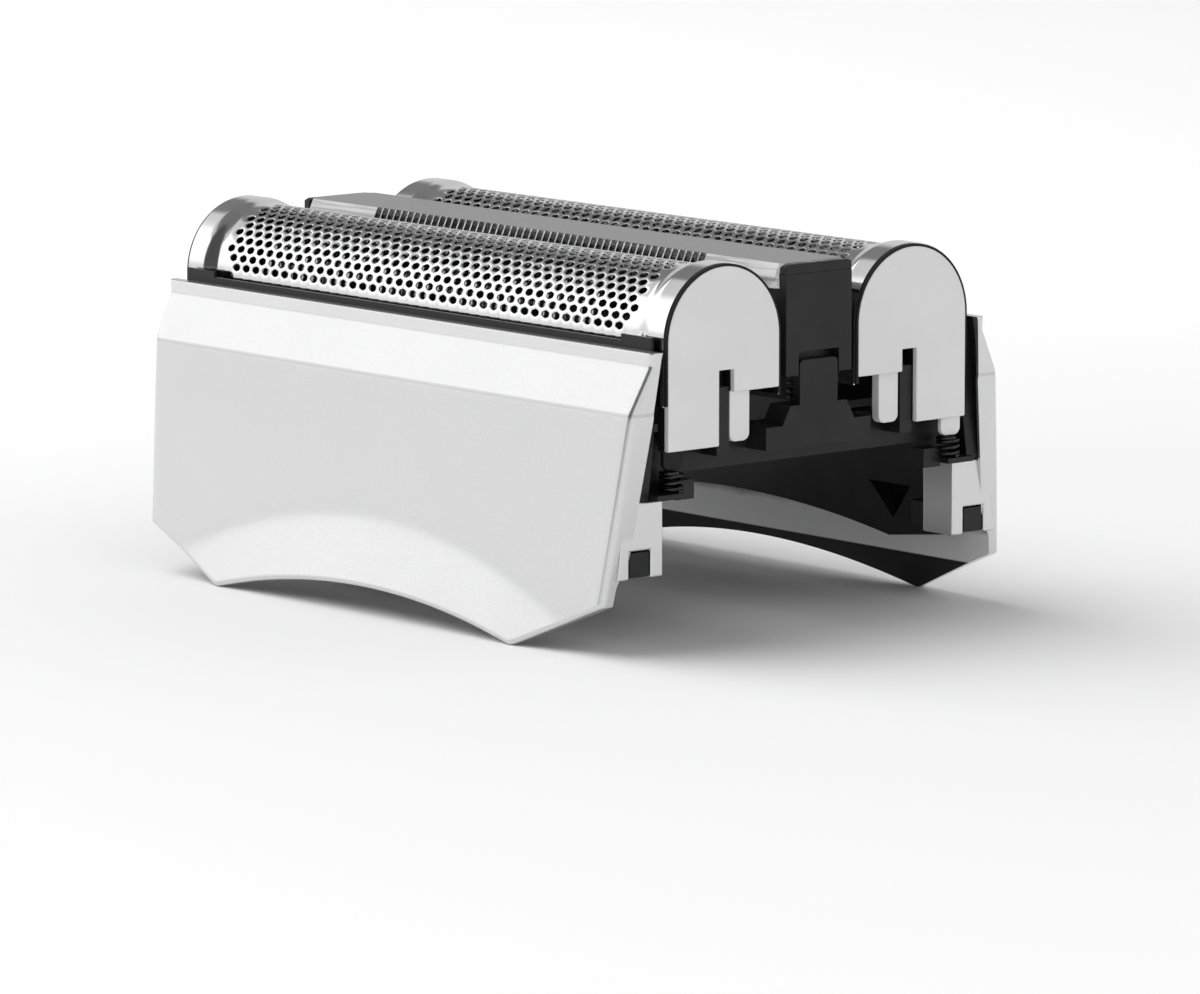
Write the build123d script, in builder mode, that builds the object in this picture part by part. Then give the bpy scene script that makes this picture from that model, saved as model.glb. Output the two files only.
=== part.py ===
"""Foil head of an electric shaver: two sprung arched foils with their oscillating cutters, a sprung
middle trimmer, a black inner chassis and two silver covers. Millimetres, +X along the foils, +Y to
the rear, +Z up. The origin is under the middle of the head, on the surface that it stands on."""

from build123d import *

import os
from math import cos, hypot, radians, sin

os.makedirs("parts", exist_ok=True)

# Clearances
running_gap = 0.1  # between flat faces that slide on each other
seat_gap = 0.05  # between a fixed piece and the piece that holds it
side_gap = 0.25  # between a floating foil and what stands beside it

# Foils
crown_height = 21.9  # top of the foils' widened ends above the surface
foil_spacing = 14.4  # between the two crowns
foil_radius = 4.05  # outside of the arch
flare_radius = 4.36  # outside of the widened ends
flare_length = 1.4
foil_sheet = 0.15
foil_length = 43.9
foil_skirt = 3.5  # straight side below the arch
foil_travel = 0.9  # how far a foil sinks on its springs
foil_y = foil_spacing / 2
arch_z = crown_height - flare_radius  # centre of the arch
skirt_z = arch_z - foil_skirt  # lower edge of the sheet

# Perforation, coarser than the real one so that the sheet stays light
hole_size = 1.6  # across the corners of a hexagon
hole_pitch = 2.8  # along the foil
hole_rows = 7  # one to each flat of the arch
hole_sides = 6
plain_margin = 3.7  # of the sheet, at each end
hole_columns = int((foil_length - 2 * plain_margin) / hole_pitch)
flat_angle = 180 / (hole_rows + 1)  # degrees between neighbouring flats

# End caps of the foils
cap_thickness = 1.0
outer_leg_drop = 10.4  # from the crown to the foot of the long leg
inner_leg_drop = 7.4
slot_width = 1.1
slot_inset = 0.2  # the slot lies this far inward from the middle of the cap
slot_drop = 6.1  # from the crown to the top of the slot
tongue_width = 1.5
tongue_length = 2.9
tongue_recess = 0.4  # the tongue lies this far behind the face
tongue_corner = 0.5
collar_length = 1.6  # ring behind the face that carries the sheet
collar_wall = 0.9
cap_edge = 0.12  # broken edge round the face
peg_width = 1.5  # flat spring peg under the outer leg
peg_length = 1.1
peg_recess = 0.3
peg_corner = 0.45
cap_radius = flare_radius - foil_sheet - seat_gap
collar_radius = foil_radius - foil_sheet - seat_gap
cap_face_x = foil_length / 2
cap_back_x = cap_face_x - cap_thickness
outer_leg_z = crown_height - outer_leg_drop
inner_leg_z = crown_height - inner_leg_drop
slot_top_z = crown_height - slot_drop
slot_y = foil_y - slot_inset
peg_y = foil_y + cap_radius - peg_width / 2
peg_z = outer_leg_z - peg_length
peg_x = cap_face_x - (cap_thickness + peg_recess) / 2
flare_end_x = cap_back_x - seat_gap  # the rim round the face of the cap starts here
flare_start_x = flare_end_x - flare_length

# Cutters
cutter_stroke = 1.0  # each way from the middle
blade_gap = 0.2  # between the blades and the foil
blade_thickness = 0.35
blade_width = 0.8  # of the ring, measured along its radius
blade_pitch = 3.4
carrier_height = 3.6
carrier_rim = 1.2
carrier_floor = 1.2
spine_width = 3.0  # bar along the top of the carrier, which slides on the shelves of the caps
spine_height = 1.3
shelf_height = 0.7
shelf_width = 3.4
shelf_rise = 0.2  # from the top of the carrier down to the shelves
drive_boss = 5.0  # width of the block round the drive socket
drive_radius = 1.2
drive_depth = 2.4
blade_radius = foil_radius - foil_sheet - blade_gap
carrier_top_z = slot_top_z + shelf_rise
spine_base_z = slot_top_z + shelf_height + running_gap
spine_end_x = cap_back_x - cutter_stroke - running_gap
shelf_end_x = spine_end_x - cutter_stroke - running_gap
carrier_length = 2 * (shelf_end_x - cutter_stroke - running_gap)
blade_count = int(carrier_length / blade_pitch)

# Covers
cover_overhang = 0.35  # beyond the faces of the caps, along the top
crease_taper = 0.65  # how far the ends draw in from the top to the crease
base_taper = 1.1  # and from the top to the lower corners
taper_drop = 0.7  # how far below the crease the taper of the ends changes
cover_drop = 4.67  # from the crowns to the top of the covers
crease_drop = 3.33  # from there to the crease
corner_z = 3.0  # lower corners at the ends
cover_lean = 1.65  # outward from the top to the crease
wall_lean = 1.67  # outward from the crease to the base
top_edge = 0.3  # thickness along the top
crease_wall = 1.1
base_wall = 0.8
rim_height = 2.2  # inner bevel along the lower edge
rim_wall = 0.47
foot_inset = 7.4  # from a lower corner to the foot beside it
tip_flat = 0.8
arch_rise = 1.7
lip_z = 5.6  # where the flared lip starts, in the middle
lip_slope = 0.25  # outward for each millimetre down
lip_bow = 0.61  # the ends of the lip lie this far back, inside the wall
lip_inset = 2.0  # from the end corners of the cover to the ends of the lip
lip_start = 0.4  # the lip begins inside the wall, this far above its upper edge
lip_wall = 0.8
crease_round = 1.5
end_round = 0.5
rail_thickness = 0.19  # of the chassis along the top of a cover
rail_inner_y = foil_y + flare_radius + side_gap
cover_top_y = rail_inner_y + rail_thickness + seat_gap + top_edge
crease_y = cover_top_y + cover_lean
cover_base_y = crease_y + wall_lean
cover_top_z = crown_height - cover_drop
crease_z = cover_top_z - crease_drop
top_length = foil_length + 2 * cover_overhang
crease_length = top_length - 2 * crease_taper
base_length = top_length - 2 * base_taper
tip_spacing = base_length - 2 * foot_inset  # between the two feet of one cover

# Corner blocks of the covers, which the chassis is clipped into
block_length = 2.55
block_lift = 1.4  # from the lower corners of the cover to the foot of a block
block_drop = 8.48  # from the top of the cover
block_reach = 0.71  # how far a block reaches in past the rail
clip_width = 1.6
clip_height = 1.6
clip_inset = 1.7  # from the inner side of a block to the middle of its notch
block_inner_y = rail_inner_y - block_reach
block_top_z = cover_top_z - block_drop
block_base_z = corner_z + block_lift
block_x = base_length / 2 - block_length  # inner end of a block
clip_y = block_inner_y + clip_inset

# Chassis
rail_straight = 5.23  # upright part of a rail, from its top
rail_flare = 1.14  # how far the inside of a rail leans out below that
rail_overlap = 0.3  # how far the ends reach into the rails
rail_inset = 0.75  # from the faces of the caps to the ends of the rails
rail_rise = 0.38  # above the covers
rail_end_rise = 0.36  # of the raised ends, above the rest of the rail
rail_end_length = 2.6
rail_foot_z = 3.4
rail_arch_rise = 1.3
rail_corner_rise = 0.6
bridge_inset = 3.05  # from the faces of the caps to the inside of an end
bridge_thickness = 1.3
bridge_height = 2.2
bridge_drop = 5.03  # from the top of the covers to the top of the bridge
base_half_width = 4.0
base_height = 1.3
step_half_width = 2.15
step_height = 1.1
step_slant = 0.6
tab_half_width = 1.44
tab_height = 2.55
tab_thickness = 0.6
tab_corner = 0.3
guide_recess = 0.35  # the guides lie this far behind the faces of the caps
hook_width = 1.3
hook_height = 1.1
hook_drop = 0.3  # from the foot of the bridge to the top of the hook
hook_recess = 0.75
hook_gap = 0.5  # from the hook to the middle of the spring peg
ledge_thickness = 0.3
window_width = 3.6  # three-cornered window in each rail
window_height = 2.1
window_rise = 1.1  # from the foot of the rail to the lowest corner of the window
window_offset = 0.5  # outward from the foot of the cover
clip_boss_length = 2.0
rail_straight_z = cover_top_z - rail_straight
rail_base_y = rail_inner_y + rail_flare
rail_length = foil_length - 2 * rail_inset
rail_top_z = cover_top_z + rail_rise
rail_arch_z = rail_foot_z + rail_arch_rise
rail_corner_z = rail_foot_z + rail_corner_rise
bridge_inner_x = cap_face_x - bridge_inset
bridge_outer_x = bridge_inner_x + bridge_thickness
bridge_top_z = cover_top_z - bridge_drop
bridge_base_z = bridge_top_z - bridge_height
end_face_x = cap_face_x - seat_gap  # outside of the stepped end base
base_z = bridge_top_z - base_height
step_z = bridge_top_z + step_height
tab_z = step_z + tab_height
guide_width = slot_width - 2 * running_gap
guide_top_z = slot_top_z - foil_travel - running_gap
guide_outer_x = cap_face_x - guide_recess
hook_outer_y = peg_y - hook_gap
hook_inner_y = hook_outer_y - hook_width
hook_top_z = bridge_base_z - hook_drop
hook_base_z = hook_top_z - hook_height
hook_outer_x = cap_face_x - hook_recess
wing_y = rail_inner_y + rail_overlap
wing_z = block_top_z + seat_gap
ledge_z = wing_z + ledge_thickness
window_x = tip_spacing / 2 + window_offset
window_base_z = rail_foot_z + window_rise
window_top_z = window_base_z + window_height

# Trimmer
trimmer_travel = 0.4
trimmer_stroke = 1.0
trimmer_drop = 0.5  # from the crowns of the foils to the top of the comb
comb_plate = 0.6
comb_width = 5.8
comb_skirt = 2.0
comb_wall = 0.3
comb_chamfer = 0.4
comb_end = 6.6  # plain part at each end
tooth_pitch = 1.6
tooth_slot = 1.1
tooth_depth = 1.3  # how far a slot reaches in from the edge of the plate
slot_foot = 0.4  # what a slot leaves of the skirt below it
skirt_y = 2.45
column_width = 5.0
column_thickness = 1.9
column_lap = 0.85  # how far the foot of a column reaches down beside the tab
beam_height = 2.5
trimmer_blade_thickness = 0.6
trimmer_blade_end = 1.6  # plain part at each end
trimmer_blade_width = 4.0
blade_tooth_depth = 0.7
blade_tooth_pitch = 2 * tooth_pitch
lug_length = 2.4
lug_width = 1.4
lug_height = 3.2
trimmer_top_z = crown_height - trimmer_drop
comb_length = 2 * end_face_x
tooth_count = int((comb_length - 2 * comb_end) / tooth_pitch)
trimmer_blade_length = tooth_count * tooth_pitch + 2 * trimmer_blade_end
column_inner_x = end_face_x - column_thickness
column_base_z = tab_z - column_lap
column_top_z = trimmer_top_z - comb_plate
notch_depth = tab_thickness + running_gap  # the tab of the chassis stands in this notch
notch_half_width = tab_half_width + running_gap
notch_top_z = tab_z + trimmer_travel + running_gap
beam_half_width = skirt_y - comb_wall - seat_gap
beam_top_z = column_top_z - trimmer_blade_thickness - 2 * running_gap

# Springs
wire_diameter = 0.3
foil_spring_run = 1.1
trimmer_spring_run = 1.6
wire_sides = 6
wire_rise = 0.3  # height of each upright part, as a share of the spring
trimmer_spring_x = (column_inner_x + end_face_x - notch_depth) / 2


def arch_outline(radius, base_z):
    """Outline, in the YZ plane of the rear foil, of a round arch on straight sides."""
    left = foil_y - radius
    right = foil_y + radius
    with BuildLine() as outline:
        Line((left, base_z), (left, arch_z))
        ThreePointArc((left, arch_z), (foil_y, arch_z + radius), (right, arch_z))
        Line((right, arch_z), (right, base_z))
        Line((right, base_z), (left, base_z))
    return outline.edges()


def flat_arch_outline(radius, base_z):
    """The same arch in flats, one to each row of holes. Every flat touches the round arch."""
    corner = radius / cos(radians(flat_angle / 2))
    angles = [radians(flat_angle * (index + 0.5)) for index in range(hole_rows + 1)]
    with BuildLine() as outline:
        Polyline(
            (foil_y + radius, base_z),
            *[(foil_y + corner * cos(angle), arch_z + corner * sin(angle)) for angle in angles],
            (foil_y - radius, base_z),
            close=True,
        )
    return outline.edges()


def front_outline():
    """Outline of a cover seen from the front: tapering ends, and two feet with an arch between."""
    foot = tip_spacing / 2
    side = [
        (foot - tip_flat / 2, 0),
        (foot + tip_flat / 2, 0),
        (base_length / 2, corner_z),
        (crease_length / 2, crease_z - taper_drop),
        (top_length / 2, cover_top_z),
    ]
    with BuildLine() as outline:
        Polyline(*side, *[(-x, z) for x, z in reversed(side)])
        ThreePointArc((tip_flat / 2 - foot, 0), (0, arch_rise), (foot - tip_flat / 2, 0))
    return outline.edges()


def outer_wall_y(z):
    """Outside of a cover below its crease, at a height."""
    return cover_base_y - wall_lean * z / crease_z


def inner_wall_y(z):
    """Inside of a cover below its crease, at a height."""
    crease_inner = crease_y - crease_wall
    base_inner = cover_base_y - base_wall
    return base_inner + (crease_inner - base_inner) * z / crease_z


# Perforated foil: one thin sheet with staggered rows of six-sided holes, widened round its caps
with BuildPart() as rear_foil:
    with BuildSketch(Plane.YZ):
        make_face(flat_arch_outline(foil_radius, skirt_z))
    extrude(amount=flare_start_x, both=True)
    for end in (-1, 1):
        with BuildSketch(Plane.YZ.offset(end * flare_start_x)):
            make_face(flat_arch_outline(foil_radius, skirt_z))
        with BuildSketch(Plane.YZ.offset(end * flare_end_x)) as rim:
            make_face(flat_arch_outline(flare_radius, skirt_z))
        loft()
        extrude(rim.sketch, amount=end * (cap_face_x - flare_end_x), dir=(1, 0, 0))
    with BuildSketch(Plane.YZ):
        make_face(flat_arch_outline(foil_radius - foil_sheet, skirt_z))
    extrude(amount=flare_start_x, both=True, mode=Mode.SUBTRACT)
    for end in (-1, 1):
        with BuildSketch(Plane.YZ.offset(end * flare_start_x)):
            make_face(flat_arch_outline(foil_radius - foil_sheet, skirt_z))
        with BuildSketch(Plane.YZ.offset(end * flare_end_x)) as inside:
            make_face(flat_arch_outline(flare_radius - foil_sheet, skirt_z))
        loft(mode=Mode.SUBTRACT)
        extrude(inside.sketch, amount=end * (cap_face_x - flare_end_x), dir=(1, 0, 0), mode=Mode.SUBTRACT)
    for row in range(hole_rows):
        angle = radians((row - (hole_rows - 1) / 2) * flat_angle)
        stagger = hole_pitch / 4 if row % 2 else -hole_pitch / 4
        outward = Plane((stagger, foil_y, arch_z), x_dir=(1, 0, 0), z_dir=(0, sin(angle), cos(angle)))
        with BuildSketch(outward):
            with GridLocations(hole_pitch, hole_pitch, hole_columns, 1):
                RegularPolygon(hole_size / 2, hole_sides)
        extrude(amount=2 * foil_radius, mode=Mode.SUBTRACT)

# End cap of a foil: arched face with a guide slot, a long outer leg, a short inner leg and a tongue
with BuildPart() as rear_cap_right:
    slot_inner_y = slot_y - slot_width / 2
    with BuildSketch(Plane.YZ.offset(cap_back_x)):
        make_face(arch_outline(cap_radius, outer_leg_z))
        with Locations((slot_y, outer_leg_z)):
            Rectangle(slot_width, 2 * (slot_top_z - outer_leg_z), mode=Mode.SUBTRACT)
        with Locations((slot_inner_y, outer_leg_z)):
            leg_cut = (2 * cap_radius, inner_leg_z - outer_leg_z)
            Rectangle(*leg_cut, align=(Align.MAX, Align.MIN), mode=Mode.SUBTRACT)
    extrude(amount=cap_thickness)
    chamfer(rear_cap_right.faces().sort_by(Axis.X)[-1].edges(), cap_edge)
    with BuildSketch(Plane.YZ.offset(cap_back_x)) as tongue:
        with Locations((slot_inner_y - running_gap, inner_leg_z - tongue_length)):
            Rectangle(tongue_width, tongue_length + cap_edge, align=(Align.MAX, Align.MIN))
        fillet(tongue.vertices().group_by(Axis.Y)[0], tongue_corner)
    extrude(amount=cap_thickness - tongue_recess)
    with BuildSketch(Plane.YZ.offset(cap_back_x)):
        make_face(flat_arch_outline(collar_radius, skirt_z))
        make_face(flat_arch_outline(collar_radius - collar_wall, skirt_z), mode=Mode.SUBTRACT)
    extrude(amount=-collar_length)
    with BuildSketch(Plane.YZ.offset(cap_back_x)):
        with Locations((foil_y, slot_top_z)):
            Rectangle(shelf_width, shelf_height, align=(Align.CENTER, Align.MIN))
    extrude(amount=shelf_end_x - cap_back_x)
    with BuildSketch(Plane.YZ.offset(cap_back_x)) as peg:
        with Locations((peg_y, peg_z)):
            Rectangle(peg_width, peg_length + cap_edge, align=(Align.CENTER, Align.MIN))
        fillet(peg.vertices().group_by(Axis.Y)[0], peg_corner)
    extrude(amount=cap_thickness - peg_recess)

# Foil spring: a bent wire between the peg of a cap and the ledge of the chassis
with BuildPart() as rear_spring_right:
    with BuildLine(Plane.YZ.offset(peg_x)):
        low = ledge_z + wire_diameter / 2
        high = peg_z - wire_diameter / 2
        inner = peg_y - foil_spring_run / 2
        outer = peg_y + foil_spring_run / 2
        rise = wire_rise * (high - low)
        lower_half = [(inner, low), (outer, low), (outer, low + rise)]
        Polyline(*lower_half, (inner, high - rise), (inner, high), (outer, high))
    with BuildSketch(Plane.XZ.offset(-inner)):
        with Locations((peg_x, low)):
            RegularPolygon(wire_diameter / 2, wire_sides, major_radius=False)
    sweep(transition=Transition.RIGHT)

# Cutter carrier: hollow-bottomed bar with a sliding spine on top and a drive socket in the middle
with BuildPart() as rear_cutter_carrier:
    on_base = (Align.CENTER, Align.CENTER, Align.MIN)
    carrier_width = 2 * (blade_radius - running_gap)
    carrier_base_z = carrier_top_z - carrier_height
    pocket_length = (carrier_length - drive_boss) / 2 - carrier_rim
    pocket_x = (drive_boss + pocket_length) / 2
    with Locations((0, foil_y, carrier_base_z)):
        Box(carrier_length, carrier_width, carrier_height, align=on_base)
    with Locations((0, foil_y, carrier_top_z)):
        Box(carrier_length, spine_width, spine_base_z - carrier_top_z, align=on_base)
    with Locations((0, foil_y, spine_base_z)):
        Box(2 * spine_end_x, spine_width, spine_height, align=on_base)
    with Locations((-pocket_x, foil_y, carrier_base_z), (pocket_x, foil_y, carrier_base_z)):
        pocket = (pocket_length, carrier_width - 2 * carrier_rim, carrier_height - carrier_floor)
        Box(*pocket, align=on_base, mode=Mode.SUBTRACT)
    with BuildSketch(Plane.XY.offset(carrier_base_z)):
        with Locations((0, foil_y)):
            Circle(drive_radius)
    extrude(amount=drive_depth, mode=Mode.SUBTRACT)

# Cutter blades: a row of thin arched rings that stand on the carrier
with BuildPart() as rear_cutter_blades:
    for index in range(blade_count):
        with BuildSketch(Plane.YZ.offset((index - (blade_count - 1) / 2) * blade_pitch)):
            make_face(flat_arch_outline(blade_radius, carrier_top_z))
            make_face(flat_arch_outline(blade_radius - blade_width, carrier_top_z), mode=Mode.SUBTRACT)
        extrude(amount=blade_thickness / 2, both=True)

# Lip of a cover: its outside is slightly bowed, so it leaves the leaning wall along an arch
with BuildPart() as cover_lip:
    lip_half = base_length / 2 - lip_inset
    lip_top_z = lip_z + lip_start
    lip_top_y = outer_wall_y(lip_z) - lip_start * lip_slope
    with BuildSketch(Plane((0, lip_top_y, lip_top_z), x_dir=(-1, 0, 0), z_dir=(0, lip_slope, -1))):
        with BuildLine():
            ThreePointArc((-lip_half, -lip_bow), (0, 0), (lip_half, -lip_bow))
            Polyline((lip_half, -lip_bow), (lip_half, -lip_wall), (-lip_half, -lip_wall), (-lip_half, -lip_bow))
        make_face()
    extrude(amount=hypot(lip_top_z, lip_top_z * lip_slope))
    with BuildSketch(Plane.XZ):
        make_face(front_outline())
    extrude(amount=-2 * cover_base_y, mode=Mode.INTERSECT)

# Cover: leaning wall with a crease, the flared lip over its arch and a clip block at each end
with BuildPart() as rear_cover:
    with BuildSketch(Plane.YZ):
        with BuildLine():
            Polyline(
                (cover_top_y, cover_top_z),
                (crease_y, crease_z),
                (cover_base_y, 0),
                (cover_base_y - rim_wall, 0),
                (inner_wall_y(rim_height), rim_height),
                (crease_y - crease_wall, crease_z),
                (cover_top_y - top_edge, cover_top_z),
                close=True,
            )
        make_face()
    extrude(amount=top_length / 2, both=True)
    long_edges = rear_cover.edges().filter_by(Axis.X)
    fillet(long_edges.sort_by_distance((0, crease_y, crease_z))[0], crease_round)
    with BuildSketch(Plane.XZ):
        make_face(front_outline())
    extrude(amount=-2 * cover_base_y, mode=Mode.INTERSECT)
    end_edges = rear_cover.edges().filter_by(lambda e: abs(e.center().X) > tip_spacing / 2 + tip_flat)
    end_edges = end_edges.filter_by(lambda e: e.center().Y > inner_wall_y(e.center().Z) + base_wall / 2)
    fillet(end_edges.filter_by(lambda e: e.length > corner_z), end_round)
    add(cover_lip.part)
    for end in (-1, 1):
        with BuildSketch(Plane.YZ.offset(end * block_x)):
            with BuildLine():
                Polyline(
                    (block_inner_y, block_base_z),
                    (inner_wall_y(block_base_z) + base_wall / 2, block_base_z),
                    (inner_wall_y(block_top_z) + base_wall / 2, block_top_z),
                    (block_inner_y, block_top_z),
                    close=True,
                )
            make_face()
            with Locations((clip_y, block_base_z)):
                Rectangle(clip_width, 2 * clip_height, mode=Mode.SUBTRACT)
        extrude(amount=end * block_length)

# One end of the chassis: a bridge between the rails with a stepped base, guides, hooks and ledges
with BuildPart() as chassis_end:
    with BuildSketch(Plane.YZ.offset(bridge_inner_x)):
        with BuildLine():
            half = [
                (hook_inner_y, bridge_base_z),
                (hook_inner_y, wing_z),
                (wing_y, wing_z),
                (wing_y, bridge_top_z),
            ]
            Polyline(*half, *[(-y, z) for y, z in reversed(half)], close=True)
        make_face()
    extrude(amount=bridge_thickness)
    with BuildSketch(Plane.YZ.offset(bridge_outer_x)):
        with BuildLine():
            half = [
                (base_half_width, base_z),
                (base_half_width, bridge_top_z),
                (step_half_width + step_slant, bridge_top_z),
                (step_half_width, step_z),
            ]
            Polyline(*half, *[(-y, z) for y, z in reversed(half)], close=True)
        make_face()
    extrude(amount=end_face_x - bridge_outer_x)
    with BuildSketch(Plane.YZ.offset(end_face_x)) as tab:
        with Locations((0, step_z)):
            Rectangle(2 * tab_half_width, tab_z - step_z, align=(Align.CENTER, Align.MIN))
        fillet(tab.vertices().group_by(Axis.Y)[-1], tab_corner)
    extrude(amount=-tab_thickness)
    with BuildSketch(Plane.YZ.offset(bridge_outer_x)):
        for y in (-slot_y, slot_y):
            with Locations((y, base_z)):
                Rectangle(guide_width, guide_top_z - base_z, align=(Align.CENTER, Align.MIN))
    extrude(amount=guide_outer_x - bridge_outer_x)
    with BuildSketch(Plane.YZ.offset(bridge_outer_x)):
        for side in (-1, 1):
            with Locations((side * (hook_inner_y + hook_outer_y) / 2, hook_base_z)):
                Rectangle(hook_outer_y - hook_inner_y, hook_top_z - hook_base_z, align=(Align.CENTER, Align.MIN))
    extrude(amount=hook_outer_x - bridge_outer_x)
    with BuildSketch(Plane.YZ.offset(bridge_outer_x)):
        for side in (-1, 1):
            with Locations((side * (hook_outer_y + wing_y) / 2, wing_z)):
                Rectangle(wing_y - hook_outer_y, ledge_thickness, align=(Align.CENTER, Align.MIN))
    extrude(amount=end_face_x - bridge_outer_x)

# Chassis: two rails behind the covers, with an end on either side and pegs that clip into the covers
with BuildPart() as chassis:
    with BuildSketch(Plane.YZ):
        for side in (-1, 1):
            with BuildLine():
                section = [
                    (rail_inner_y, rail_top_z),
                    (cover_top_y - top_edge - seat_gap, rail_top_z),
                    (cover_top_y - top_edge - seat_gap, cover_top_z),
                    (crease_y - crease_wall - seat_gap, crease_z),
                    (inner_wall_y(rail_foot_z) - seat_gap, rail_foot_z),
                    (rail_base_y, rail_foot_z),
                    (rail_inner_y, rail_straight_z),
                ]
                Polyline(*[(side * y, z) for y, z in section], close=True)
            make_face()
    extrude(amount=rail_length / 2, both=True)
    with BuildSketch(Plane.XZ):
        with BuildLine():
            foot = tip_spacing / 2
            side = [
                (foot, rail_foot_z),
                (block_x - seat_gap, rail_corner_z),
                (block_x - seat_gap, wing_z),
                (rail_length / 2, wing_z),
                (rail_length / 2, rail_top_z),
            ]
            Polyline(*side, *[(-x, z) for x, z in reversed(side)])
            ThreePointArc((-foot, rail_foot_z), (0, rail_arch_z), (foot, rail_foot_z))
        make_face()
    extrude(amount=cover_base_y, both=True, mode=Mode.INTERSECT)
    with BuildSketch(Plane.XZ):
        for end in (-1, 1):
            with BuildLine():
                Polyline(
                    (end * (window_x - window_width / 2), window_top_z),
                    (end * (window_x + window_width / 2), window_top_z),
                    (end * window_x, window_base_z),
                    close=True,
                )
            make_face()
    extrude(amount=cover_base_y, both=True, mode=Mode.SUBTRACT)
    for end in (-1, 1):
        with BuildSketch(Plane.YZ.offset(end * rail_length / 2)):
            for side in (-1, 1):
                with Locations((side * (rail_inner_y + rail_thickness / 2), cover_top_z)):
                    raised = (rail_thickness, rail_rise + rail_end_rise)
                    Rectangle(*raised, align=(Align.CENTER, Align.MIN))
        extrude(amount=-end * rail_end_length)
    add(chassis_end.part)
    mirror(chassis_end.part, about=Plane.YZ)
    peg_base_z = block_base_z + running_gap
    peg_start_x = block_x - seat_gap - clip_boss_length
    for end in (-1, 1):
        with BuildSketch(Plane.YZ.offset(end * peg_start_x)):
            for side in (-1, 1):
                with Locations((side * clip_y, peg_base_z)):
                    clip = (clip_width - 2 * running_gap, clip_height - 2 * running_gap)
                    Rectangle(*clip, align=(Align.CENTER, Align.MIN))
        extrude(amount=end * (base_length / 2 - running_gap - peg_start_x))

# Trimmer comb: a folded steel channel, slotted across both edges, whose plate covers the columns
with BuildPart() as trimmer_comb:
    with BuildSketch(Plane.YZ):
        with Locations((0, trimmer_top_z)):
            Rectangle(comb_width, comb_plate, align=(Align.CENTER, Align.MAX))
    extrude(amount=comb_length / 2, both=True)
    chamfer(trimmer_comb.faces().sort_by(Axis.Z)[-1].edges(), comb_chamfer)
    with BuildSketch(Plane.YZ):
        for y in (seat_gap + beam_half_width, -skirt_y):
            with Locations((y, trimmer_top_z - comb_chamfer)):
                Rectangle(comb_wall, comb_skirt - comb_chamfer, align=(Align.MIN, Align.MAX))
    extrude(amount=column_inner_x - seat_gap, both=True)
    for side in (-1, 1):
        with BuildSketch(Plane.XZ.offset(-side * (comb_width / 2 - tooth_depth))):
            with Locations((0, trimmer_top_z)):
                with GridLocations(tooth_pitch, tooth_pitch, tooth_count, 1):
                    Rectangle(tooth_slot, 2 * (comb_skirt - slot_foot))
        extrude(amount=-side * comb_width, mode=Mode.SUBTRACT)

# Trimmer carrier: the bar under the comb, with a notched column at each end that slides on a tab
with BuildPart() as trimmer_carrier:
    with Locations((0, 0, beam_top_z)):
        beam = (2 * column_inner_x, 2 * beam_half_width, beam_height)
        Box(*beam, align=(Align.CENTER, Align.CENTER, Align.MAX))
    for end in (-1, 1):
        with BuildSketch(Plane.YZ.offset(end * column_inner_x)):
            with Locations((0, column_base_z)):
                Rectangle(column_width, column_top_z - column_base_z, align=(Align.CENTER, Align.MIN))
        extrude(amount=end * column_thickness)
        with BuildSketch(Plane.YZ.offset(end * end_face_x)):
            with Locations((0, column_base_z)):
                notch = (2 * notch_half_width, notch_top_z - column_base_z)
                Rectangle(*notch, align=(Align.CENTER, Align.MIN))
        extrude(amount=-end * notch_depth, mode=Mode.SUBTRACT)
    slot_length = lug_length + 2 * (trimmer_stroke + running_gap)
    Box(slot_length, lug_width + 2 * running_gap, 2 * crown_height, mode=Mode.SUBTRACT)

# Trimmer blade: the toothed strip that moves under the comb, with the lug that drives it
with BuildPart() as trimmer_blade:
    with BuildSketch(Plane.XY.offset(beam_top_z + running_gap)):
        Rectangle(trimmer_blade_length, trimmer_blade_width)
        for side in (-1, 1):
            with Locations((0, side * trimmer_blade_width / 2)):
                with GridLocations(blade_tooth_pitch, blade_tooth_pitch, tooth_count // 2, 1):
                    Rectangle(blade_tooth_pitch / 2, 2 * blade_tooth_depth, mode=Mode.SUBTRACT)
    extrude(amount=trimmer_blade_thickness)
    with Locations((0, 0, beam_top_z + running_gap)):
        Box(lug_length, lug_width, lug_height, align=(Align.CENTER, Align.CENTER, Align.MAX))

# Trimmer spring: a bent wire between a column and the stepped base of the chassis
with BuildPart() as trimmer_spring_right:
    with BuildLine(Plane.YZ.offset(trimmer_spring_x)):
        low = step_z + wire_diameter / 2
        high = column_base_z - wire_diameter / 2
        reach = trimmer_spring_run / 2
        rise = wire_rise * (high - low)
        lower_half = [(-reach, low), (reach, low), (reach, low + rise)]
        Polyline(*lower_half, (-reach, high - rise), (-reach, high), (reach, high))
    with BuildSketch(Plane.XZ.offset(reach)):
        with Locations((trimmer_spring_x, low)):
            RegularPolygon(wire_diameter / 2, wire_sides, major_radius=False)
    sweep(transition=Transition.RIGHT)

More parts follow.
